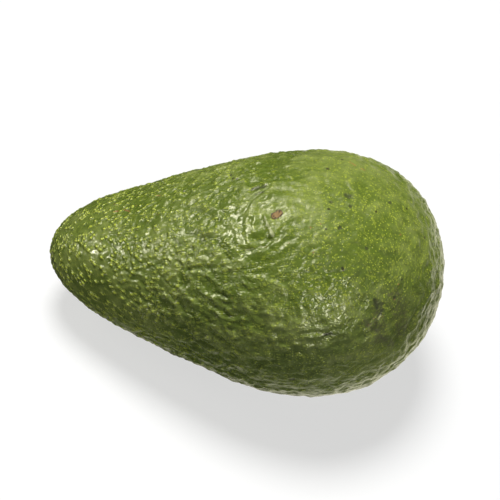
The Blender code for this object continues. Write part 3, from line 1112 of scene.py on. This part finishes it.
    def carve(
        self, fruit: bpy.types.Object, line: list[Vector], width: float, height: float
    ) -> None:
        """Raises or lowers the skin along a line of places.

        Args:
            fruit: The grown fruit.
            line: The places that the ridge or groove runs through.
            width: Distance at which it is down to about a third.
            height: Height of its crest, negative for a groove.
        """
        mesh = fruit.data
        count = len(mesh.vertices)
        points = np.empty(count * 3)
        mesh.vertices.foreach_get("co", points)
        points = points.reshape(count, 3)
        normals = np.empty(count * 3)
        mesh.vertices.foreach_get("normal", normals)
        nearest = np.full(count, np.inf)
        for start, end in zip(line, line[1:] or line):
            first, way = np.array(start), np.array(end - start)
            reach = max(float(way @ way), TINY)
            share = np.clip((points - first) @ way / reach, 0.0, 1.0)
            away = np.linalg.norm(points - first - share[:, None] * way, axis=1)
            nearest = np.minimum(nearest, away)
        rise = height * np.exp(-((nearest / width) ** 2))
        points += normals.reshape(count, 3) * rise[:, None]
        mesh.vertices.foreach_set("co", points.ravel())
        mesh.update()

    def add_folds(self, fruit: bpy.types.Object) -> list[Vector]:
        """Carves the folds and the scab's hollow.

        Args:
            fruit: The grown fruit.

        Returns:
            The scab's two ends.
        """
        pixels = [pixel for fold in FOLDS for pixel in fold.line] + list(SCAB_ENDS)
        places = self.view.find(fruit, pixels)
        for fold in FOLDS:
            line, places = places[: len(fold.line)], places[len(fold.line) :]
            self.carve(fruit, line, fold.width, fold.height)
        self.carve(fruit, places, self.scab_radius, -self.scab_depth)
        return places


class SkinMaterial:
    """The skin's material, laid on in layers over maps of the fruit that they share."""

    def __init__(
        self, fruit: Fruit, body: bpy.types.Object, material: bpy.types.Material
    ) -> None:
        """Makes the maps.

        Args:
            fruit: What the skin was grown by.
            body: The grown fruit, on which the places of the marks are looked up.
            material: The material to fill.
        """
        self.fruit, self.look, self.body = fruit, fruit.finish, body
        material.use_nodes = True
        material.node_tree.nodes.clear()
        graph = self.graph = Graph(material.node_tree)
        self.plain = graph.attribute(PLAIN_PLACE)
        self.place = graph.add("ShaderNodeTexCoord", {}, {}, "Object")
        self.grainy = fruit.grain(graph, self.plain)
        self.calm, self.bulk = fruit.calm(graph, self.plain), fruit.bulk(graph, self.plain)
        self.under = fruit.under(graph, self.plain)

        facts = graph.parts(graph.attribute(PEBBLE_FACTS))
        self.chance, self.rise = facts.output("Y"), facts.output("Z")
        self.near = graph.fade(facts, *self.look.pebble_span)
        self.standing = fruit.standing(graph, self.bulk, self.chance)
        self.from_pebble = graph.attribute(FROM_PEBBLE)
        stray = (graph.noise(self.plain, self.look.stray_size, 1.0) - 0.5) * self.look.stray_reach
        self.pebble_distance = graph.measure("LENGTH", self.from_pebble) + stray

        middle = fruit.view.find(body, [fruit.whorl_pixel])[0]
        middle = tuple(fruit.form.resting_matrix().inverted() @ middle)
        size = fruit.whorl_size * self.look.ring_share
        self.rings, self.shown = fruit.whorl(graph, self.plain, middle, size)
        self.fine = graph.noise(self.plain, self.look.fine_size, 3.0, 0.6)
        patched = graph.stretch(self.plain, self.look.patch_stretch)
        self.patches = graph.noise(patched, self.look.patch_size, 3.0, 0.6)
        self.haze = graph.ramp(self.patches * 0.6 + self.fine * 0.4, *self.look.haze_span)
        mottled = graph.stretch(self.plain, self.look.mottle_stretch)
        self.mottle = graph.noise(mottled, self.look.mottle_size, 2.0, 0.6)
        self.small = graph.cells(self.plain, self.look.small_pore_spacing)
        self.waver = graph.noise(self.place, self.look.mark_size, 3.0, 0.65) * 2.0 - 1.0

    def by(self, trend: Trend) -> Value:
        """A trend's strength at each place of the skin."""
        return trend.at(self.bulk, self.calm)

    def green(self) -> Signal:
        """The ground colour: leaf green in patches, with painted shade in the valleys of the relief
        and painted light on its crests.
        """
        graph, look = self.graph, self.look
        broad = graph.noise(self.plain, look.broad_size, 2.0)
        leafy = graph.ramp(broad * 0.5 + self.patches * 0.5, *look.leaf_span)
        colour = graph.blend(leafy, look.deep, look.leaf)
        colour = graph.blend(self.haze * self.by(look.haze_share), colour, look.haze)
        # painted shade: darker green in the valleys of the relief
        low = graph.fade(self.rise, *look.valley_shade_span)
        colour = graph.blend(low * self.by(look.valley_shade_share), colour, look.shade_and_mottle_green)
        # painted light: paler green on the relief's crests
        high = graph.ramp(self.rise, *look.lit_crest_span)
        return graph.blend(high * self.by(look.lit_crest_share), colour, look.haze)

    def add_pores(self, colour: Signal) -> Signal:
        """Lays on the painted shade round the pebbles' feet, the pores, the mottling between them
        and the greyer underside.

        Args:
            colour: The ground colour.

        Returns:
            The new colour.
        """
        graph, look = self.graph, self.look
        away = self.pebble_distance
        # painted shade: a darker ring round the foot of each pebble that stands out
        foot_shade = graph.ramp(away, *look.foot_shade_rise) * graph.fade(away, *look.foot_shade_fall)
        foot_shade = foot_shade * self.standing * self.by(look.foot_shade_share)
        colour = graph.blend(foot_shade, colour, look.shade_and_mottle_green)

        long_way = graph.measure("LENGTH", graph.stretch(self.from_pebble, look.pore_stretch))
        edge = away * self.bulk + long_way * (1.0 - self.bulk)
        edge = edge + (self.fine - 0.5) * look.pore_ragged
        radius = self.chance * look.pore_chance + self.by(look.pore_radius)
        pore = graph.fade(edge - radius, *look.pore_edge) * self.near
        least, more = look.pore_standing
        (side_start, side_end), loss = look.far_side
        side = graph.parts(self.plain).output("Y")
        faint = graph.ramp(side, side_start, side_end, 0.0, loss)
        pore = pore * (least + self.standing * more) * self.by(look.pore_share)
        pore = pore * (1.0 - faint) * (1.0 - self.shown * look.ring_pore)
        pore_colour = graph.blend(self.bulk, look.neck_pore, look.pore)
        colour = graph.blend(pore, colour, pore_colour)

        span, share = look.light_mottle
        colour = graph.blend(graph.ramp(self.mottle, *span) * share, colour, look.small_pore)
        span, share = look.dark_mottle
        colour = graph.blend(graph.fade(self.mottle, *span) * share, colour, look.shade_and_mottle_green)
        ragged = self.small + (self.fine - 0.5) * look.small_pore_ragged
        small = graph.fade(ragged, *look.small_pore_span) * self.by(look.small_pore_share)
        small = small * (1.0 - self.shown * look.ring_calm)
        small = small * (1.0 - self.under * look.small_pore_under)
        colour = graph.blend(small, colour, look.small_pore)
        underside_grey = graph.ramp(graph.parts(self.plain).output("Z"), *look.underside_grey_span)
        return graph.blend(underside_grey * self.by(look.underside_grey_share), colour, look.underside_grey)

    def from_stroke(self, start: Vector, end: Optional[Vector]) -> Signal:
        """Distance to a place, or to a straight stroke.

        Args:
            start: The place, or the stroke's start.
            end: The stroke's end, or None for a single place.

        Returns:
            The distance.
        """
        graph = self.graph
        if end is None:
            return graph.measure("DISTANCE", self.place, tuple(start))
        way = end - start
        from_start = graph.vector("SUBTRACT", self.place, tuple(start))
        along = graph.measure("DOT_PRODUCT", from_start, tuple(way))
        values = {"Value": along / max(way.length_squared, TINY)}
        step = graph.scaled(tuple(way), graph.add("ShaderNodeClamp", {}, values))
        return graph.measure("DISTANCE", from_start, step)

    def mask(self, marks: list[tuple[Vector, Optional[Vector], float]]) -> Signal:
        """A mask of marks with uneven edges.

        Args:
            marks: The start of each, its end or None, and its radius.

        Returns:
            The mask, which is 1 on the marks.
        """
        masks = []
        inner, outer = self.look.mark_edge
        for start, end, radius in marks:
            uneven = self.waver * (radius * self.look.mark_ragged)
            ragged = self.from_stroke(start, end) + uneven
            masks.append(self.graph.fade(ragged, radius * inner, radius * outer))
        total = masks[0]
        for mask in masks[1:]:
            total = self.graph.math("MAXIMUM", total, mask)
        return total

    def mark_masks(self) -> dict[MarkKind, Signal]:
        """The mask of each kind of mark."""
        starts = self.fruit.view.find(self.body, [mark.start for mark in MARKS])
        ends = self.fruit.view.find(self.body, [mark.end or mark.start for mark in MARKS])
        masks = {}
        for kind in MarkKind:
            found = [
                (start, end if mark.end else None, mark.radius)
                for mark, start, end in zip(MARKS, starts, ends)
                if mark.kind is kind
            ]
            masks[kind] = self.mask(found)
        return masks

    def add_marks(self, colour: Signal, masks: dict[MarkKind, Signal]) -> Signal:
        """Lays on the marks, apart from the dark spots, which lie on the scab as well.

        Args:
            colour: The skin's colour so far.
            masks: The mask of each kind of mark.

        Returns:
            The new colour.
        """
        look = self.look
        speckled = self.graph.ramp(self.fine, 0.40, 0.62, 0.15, 0.70)
        ragged = self.graph.ramp(self.fine, 0.30, 0.50)
        # the SHADE patches are painted shade, and the pale lines along the whorl's ridges painted
        # gloss
        for kind, share, mark_colour in (
            (MarkKind.SHADE, 0.40, look.deep),
            (MarkKind.BRUISE, speckled, look.bruise),
            (MarkKind.SMUDGE, ragged * 0.90, look.smudge),
            (MarkKind.PALE_SCAR_AND_GLOSS, 0.55, look.pale),
            (MarkKind.RED, 0.48, look.red),
        ):
            colour = self.graph.blend(masks[kind] * share, colour, mark_colour)
        return colour

    def add_scab(self, colour: Signal, scab: list[Vector]) -> tuple[Signal, Signal, Signal]:
        """Lays on the corky scab.

        Args:
            colour: The skin's colour so far.
            scab: The scab's two ends.

        Returns:
            The new colour, the scab's mask and its pits.
        """
        graph, look, radius = self.graph, self.look, self.fruit.scab_radius
        ragged = self.from_stroke(*scab) + self.waver * look.scab_ragged
        mask = graph.fade(ragged, *(radius * share for share in look.scab_edge))
        rim = graph.ramp(ragged, *(radius * share for share in look.scab_rim))
        pits = graph.fade(graph.cells(self.place, look.pit_spacing), *look.pit_span)
        dark = graph.math("MAXIMUM", rim, pits) * look.scab_dark
        cork = graph.blend(dark, look.cork, look.cork_dark)
        return graph.blend(mask, colour, cork), mask, pits

    def roughness(self, scab: Signal, bruise: Signal) -> Signal:
        """How rough the skin is: smoother on the neck and where it is rubbed.

        Args:
            scab: The scab's mask.
            bruise: The bruises' mask.

        Returns:
            The roughness.
        """
        look = self.look
        middles = self.fruit.view.find(self.body, [pixel for pixel, _ in GLOSSY])
        rubbed = self.mask([(middle, None, size) for middle, (_, size) in zip(middles, GLOSSY)])
        dull = self.haze * 0.06 + scab * 0.45 + bruise * 0.06 + (self.fine - 0.5) * 0.08
        return dull + look.roughness + self.by(look.roughness_gain) - rubbed * look.rubbed

    def relief(self, scab: Signal, pits: Signal) -> Signal:
        """The height of what is too fine for the mesh.

        Args:
            scab: The scab's mask.
            pits: The pits in the scab.

        Returns:
            The height in metres.
        """
        graph, look = self.graph, self.look
        grain = graph.noise(self.plain, look.grain_size, 2.0, 0.6)
        domes = graph.fade(self.small, 0.0, 0.55)
        scaly = graph.stretch(self.grainy, look.scale_stretch)
        scales = graph.crossing(graph.noise(scaly, look.scale_size, 1.0, 0.5), 0.10)
        plates = graph.ramp(graph.noise(self.grainy, look.plate_size, 2.0, 0.45), *look.plate_span)
        curls = graph.ramp(graph.noise(self.plain, look.curl_size, 0.5, 0.5), *look.curl_span)
        tips = graph.fade(self.pebble_distance, *look.tip_span) * self.near * self.standing
        lines = graph.noise(graph.stretch(self.plain, look.line_stretch), look.line_size, 1.0)
        layers = (
            domes * self.by(look.dome_height)
            + self.fine * self.by(look.fine_height)
            + self.mottle * self.by(look.mottle_height)
            + plates * self.by(look.plate_height)
            + curls * self.by(look.curl_height)
            + tips * self.by(look.tip_height)
        )
        return (
            layers * (1.0 - self.shown * look.ring_calm)
            + grain * look.grain_height
            + scales * self.bulk * look.scale_height
            + self.rings * self.shown * look.ring_height
            + lines * self.under * look.line_height
            - pits * scab * look.pit_depth
        )

    def fill(self, scab: list[Vector]) -> None:
        """Lays all layers on and joins them in the shader.

        Args:
            scab: The scab's two ends.
        """
        masks = self.mark_masks()
        colour = self.add_marks(self.add_pores(self.green()), masks)
        colour, scab_mask, pits = self.add_scab(colour, scab)
        dark = masks[MarkKind.DARK] * self.look.dark_share
        colour = self.graph.blend(dark, colour, self.look.dark)
        values = {
            "Base Color": colour,
            "Roughness": self.roughness(scab_mask, masks[MarkKind.BRUISE]),
            "IOR": self.look.ior,
            "Normal": self.graph.bump(self.relief(scab_mask, pits)),
        }
        self.graph.surface(values)


@dataclass
class StemStub:
    """The corky stub of the stalk, in the hollow at the neck's end."""

    form: PearForm
    finish: CorkFinish = field(default_factory=CorkFinish)
    radius: float = 3.3 * MM
    height: float = 3.4 * MM
    sunk: float = 1.5 * MM
    segments: int = 120
    lobes: int = 5
    lobe_depth: float = 0.045
    floor_sink: float = 0.35 * MM  # the solid's net and hollow, which its seat was cut into
    floor_depth: float = 1.7 * MM
    steps: int = 6  # between two knots of the profile
    grooves: float = 17.0
    groove_drift: float = 1.3  # what keeps them from being evenly spaced, in radians
    groove_depth: float = 0.035
    swell_height: float = 0.03 * MM
    swell_turns: float = 7.0
    swell_rise: float = 4000.0  # how fast the swells turn with the height, in radians a metre

    def matrix(self) -> Matrix:
        """Takes a piece turned about +Z to the hollow's floor, with +Z out of the fruit."""
        foot, outward = self.form.stem_place()
        floor = foot + outward * (self.form.lumps(foot) - self.floor_sink - self.floor_depth)
        turn = outward.to_track_quat("Z", "Y").to_matrix().to_4x4()
        return self.form.resting_matrix() @ Matrix.Translation(floor) @ turn

    def profile(self) -> list[tuple[float, float]]:
        """The stub's outline from its foot to the middle of its top, as (radius, height)."""
        top = self.height - self.sunk
        knots = (
            (0.86, -self.sunk),
            (0.92, -self.sunk * 0.3),
            (0.84, top * 0.25),
            (0.98, top * 0.62),
            (1.00, top * 0.82),
            (0.90, top),
            (0.66, top * 0.97),
            (0.40, top * 0.80),
            (0.18, top * 0.84),
            (0.02, top * 0.82),
        )
        line = []
        for (r0, z0), (r1, z1) in zip(knots, knots[1:]):
            for k in range(self.steps):
                share = k / self.steps
                radius = self.radius * (r0 + (r1 - r0) * share)
                line.append((radius, z0 + (z1 - z0) * ease(share)))
        line.append((self.radius * knots[-1][0], knots[-1][1]))
        return line

    def build(self, cork: bpy.types.Material) -> bpy.types.Object:
        """Turns the profile, with lobes and a cracked, uneven top.

        Args:
            cork: The material, which may still be empty.

        Returns:
            The new stub.
        """
        bm = bmesh.new()
        rings = []
        for radius, height in self.profile():
            ring = []
            for k in range(self.segments):
                angle = 2.0 * math.pi * k / self.segments
                lobed = radius * (1.0 + self.lobe_depth * math.cos(self.lobes * angle))
                drift = self.groove_drift * math.sin(3.0 * angle)
                crease = math.sin(angle * self.grooves + drift) ** 8
                reach = lobed * (1.0 - self.groove_depth * crease * ease(radius / self.radius))
                swell = math.sin(self.swell_turns * angle + self.swell_rise * height)
                level = height + self.swell_height * swell
                ring.append(bm.verts.new((reach * math.cos(angle), reach * math.sin(angle), level)))
            rings.append(ring)
        for lower, upper in zip(rings, rings[1:]):
            for k in range(self.segments):
                n = (k + 1) % self.segments
                bm.faces.new((lower[k], lower[n], upper[n], upper[k]))
        bm.faces.new(list(reversed(rings[0])))
        bm.faces.new(rings[-1])
        bmesh.ops.recalc_face_normals(bm, faces=bm.faces)
        bmesh.ops.transform(bm, matrix=self.matrix(), verts=bm.verts)
        mesh = bpy.data.meshes.new("avocado_stem_stub")
        bm.to_mesh(mesh)
        bm.free()
        mesh.shade_smooth()
        mesh.materials.append(cork)
        made = bpy.data.objects.new("avocado_stem_stub", mesh)
        bpy.context.scene.collection.objects.link(made)
        return made

    def dress(self, cork: bpy.types.Material) -> None:
        """Fills the cork's material.

        Args:
            cork: The material.
        """
        look = self.finish
        cork.use_nodes = True
        cork.node_tree.nodes.clear()
        graph = Graph(cork.node_tree)
        place = graph.add("ShaderNodeTexCoord", {}, {}, "Object")
        grain = graph.noise(place, 0.8 * MM, 4.0, 0.65)
        flecks = graph.fade(graph.cells(place, 0.55 * MM), 0.15, 0.42)
        colour = graph.blend(graph.ramp(grain, 0.38, 0.62), look.crack, look.bark)
        colour = graph.blend(flecks * grain * 0.9, colour, look.pale)
        relief = grain * (0.12 * MM) - flecks * (0.05 * MM)
        values = {"Base Color": colour, "Roughness": look.roughness, "Normal": graph.bump(relief)}
        graph.surface(values)


@dataclass(frozen=True)
class Softbox:
    """A round studio light, aimed at the middle of the fruit."""

    name: str
    azimuth: float
    elevation: float
    distance: float
    size: float
    power: float
    colour: Triple = (1.0, 1.0, 1.0)
    lights_matter: bool = True
    makes_gloss: bool = True

    def set_up(self, aim: Vector) -> bpy.types.Object:
        """Puts the light in the scene.

        Args:
            aim: The place that it shines at.

        Returns:
            The light.
        """
        a, e = math.radians(self.azimuth), math.radians(self.elevation)
        way = Vector((math.sin(a) * math.cos(e), -math.cos(a) * math.cos(e), math.sin(e)))
        data = bpy.data.lights.new(self.name, "AREA")
        data.shape = "DISK"
        data.size = self.size
        data.energy = self.power
        data.color = self.colour
        light = bpy.data.objects.new(self.name, data)
        light.visible_diffuse = self.lights_matter
        light.visible_glossy = self.makes_gloss
        turn = way.to_track_quat("Z", "Y").to_matrix().to_4x4()
        light.matrix_world = Matrix.Translation(aim + way * self.distance) @ turn
        bpy.context.scene.collection.objects.link(light)
        return light


@dataclass
class Studio:
    """The pale floor and the soft light."""

    floor_size: float = 6.0
    floor_finish: FloorFinish = field(default_factory=FloorFinish)
    sky_strength: float = 0.07
    sky_gloss: float = 0.03
    rim_gloss: float = 2.0
    ground_gloss: float = 0.65  # what faces that mirror the ground straight below get
    rim_azimuth: float = 166.0
    rim_elevation: float = -51.0
    rim_span: Span = (0.79, 0.98)  # cosines of the angle to the rim's direction
    ground_span: Span = (-0.88, -0.99)  # heights of a direction of length 1
    sky_colour: Colour = (1.0, 0.98, 0.92, 1.0)
    rim_colour: Colour = (1.0, 0.96, 0.74, 1.0)
    softboxes: tuple[Softbox, ...] = (
        Softbox("overhead", -170.0, 80.0, 0.9, 0.34, 16.5, (1.0, 0.98, 0.93), True, False),
        Softbox("front_fill", 62.0, 27.0, 1.0, 0.60, 2.5, (1.0, 0.98, 0.93), True, False),
        Softbox("top_gloss", -115.0, 66.0, 0.9, 0.22, 1.0, (1.0, 0.95, 0.68), False, True),
        Softbox("left_high", -124.0, 38.0, 0.8, 0.16, 1.3, (1.0, 0.95, 0.70), False, True),
        Softbox("left_middle", -88.0, 45.0, 0.8, 0.26, 4.7, (1.0, 0.95, 0.74), False, True),
        Softbox("left_low", -74.5, 11.5, 0.8, 0.07, 1.15, (1.0, 0.96, 0.76), False, True),
        Softbox("front_right", 16.0, 22.0, 0.9, 0.13, 3.5, (1.0, 0.96, 0.76), False, True),
    )

    def set_up(self, aim: Vector) -> None:
        """Makes the floor, the world and the lights.

        Args:
            aim: The place that the lights shine at.
        """
        self._floor()
        self._world()
        for softbox in self.softboxes:
            softbox.set_up(aim)
        bpy.context.scene.view_settings.view_transform = "Standard"

    def _floor(self) -> None:
        """A plain floor at the height that the fruit rests on."""
        bm = bmesh.new()
        bmesh.ops.create_grid(bm, x_segments=1, y_segments=1, size=self.floor_size / 2.0)
        mesh = bpy.data.meshes.new("floor")
        bm.to_mesh(mesh)
        bm.free()
        material = bpy.data.materials.new("pale_floor")
        material.use_nodes = True
        material.node_tree.nodes.clear()
        graph = Graph(material.node_tree)
        values = {
            "Base Color": self.floor_finish.colour,
            "Roughness": self.floor_finish.roughness,
            "Emission Color": (1.0, 1.0, 1.0, 1.0),
            "Emission Strength": self.floor_finish.glow,
        }
        graph.surface(values)
        mesh.materials.append(material)
        floor = bpy.data.objects.new("floor", mesh)
        floor.visible_glossy = False
        bpy.context.scene.collection.objects.link(floor)

    def _world(self) -> None:
        """A dim sky, brighter where the fruit mirrors it, as a studio's pale walls are."""
        world = bpy.data.worlds.new("studio_sky")
        bpy.context.scene.world = world
        world.use_nodes = True
        world.node_tree.nodes.clear()
        graph = Graph(world.node_tree)
        lit = graph.add(
            "ShaderNodeBackground", {}, {"Color": self.sky_colour, "Strength": self.sky_strength}
        )
        a, e = math.radians(self.rim_azimuth), math.radians(self.rim_elevation)
        rim = (math.sin(a) * math.cos(e), -math.cos(a) * math.cos(e), math.sin(e))
        way = graph.add("ShaderNodeTexCoord", {}, {}, "Generated")
        facing = graph.measure("DOT_PRODUCT", way, rim)
        height = graph.parts(way).output("Z")
        below = graph.ramp(height, *self.ground_span, 0.0, self.ground_gloss)
        gloss = graph.ramp(facing, *self.rim_span, self.sky_gloss, self.rim_gloss) + below
        values = {"Color": self.rim_colour, "Strength": gloss}
        shown = graph.add("ShaderNodeBackground", {}, values)
        seen = graph.add("ShaderNodeLightPath", {}, {}, "Is Glossy Ray")
        mixed = graph.add("ShaderNodeMixShader", {}, {0: seen, 1: lit, 2: shown})
        graph.add("ShaderNodeOutputWorld", {}, {"Surface": mixed})


def settle(piece: bpy.types.Object, node: str, slot: str) -> None:
    """Lets a piece stand for a solid of the frame, and reports it.

    Args:
        piece: The piece.
        node: The solid's node.
        slot: The solid's material slot; not used.
    """
    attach(piece, BODY)
    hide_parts(node)
    LOG.info("%s stands for %s with %d faces", piece.name, node, len(piece.data.polygons))


def main() -> None:
    """Builds the avocado around its frame and lights it."""
    logging.basicConfig(level=logging.INFO, format="%(name)s: %(message)s")
    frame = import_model()

    view = PhotoView()
    view.set_up()
    form = PearForm()

    skin = bpy.data.materials.new("avocado_skin")
    fruit = Fruit(form, view)
    body = fruit.grow(skin, frame["nodes"]["fruit"])
    scab = fruit.add_folds(body)
    SkinMaterial(fruit, body, skin).fill(scab)
    settle(body, "fruit", "skin")

    cork = bpy.data.materials.new("stalk_cork")
    stub = StemStub(form)
    stalk = stub.build(cork)
    stub.dress(cork)
    settle(stalk, "stem_stub", "stalk_cork")

    low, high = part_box("fruit")
    Studio().set_up((low + high) / 2.0)


if __name__ == "__main__":
    main()
